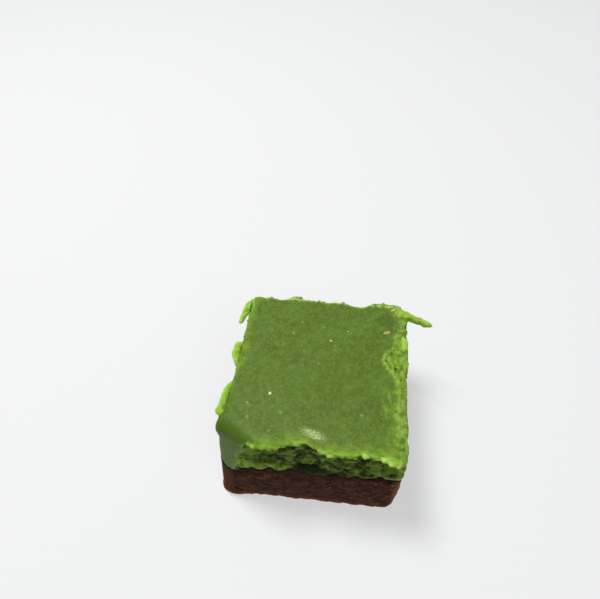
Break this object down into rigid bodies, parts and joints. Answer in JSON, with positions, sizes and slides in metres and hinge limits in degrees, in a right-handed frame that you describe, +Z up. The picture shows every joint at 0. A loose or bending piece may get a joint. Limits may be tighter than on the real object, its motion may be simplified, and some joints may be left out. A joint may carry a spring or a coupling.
{
  "type": "mint fudge",
  "caption": "Cut square of layered fudge: a green mint layer lying on a chocolate layer, with a smooth poured top, torn crumbly sides and thin torn strips on its rims.",
  "frame": {"origin": "middle of the flat underside that the square rests on", "axes": "+Z up, from the chocolate to the mint; -Y towards the cut front; -X towards the side that lay against the tin"},
  "size_m": [0.04, 0.0366, 0.0195],
  "materials": {
    "chocolate": "dark brown chocolate fudge, fine crumb on its cut sides, smoother and waxy below and on the tin's side",
    "mint": "green mint fudge, waxy and slightly translucent on its poured top, brighter and crumbly where it is torn"
  },
  "bodies": {
    "root": {"chocolate_layer": "chocolate", "mint_layer": "mint"}
  },
  "joints": []
}
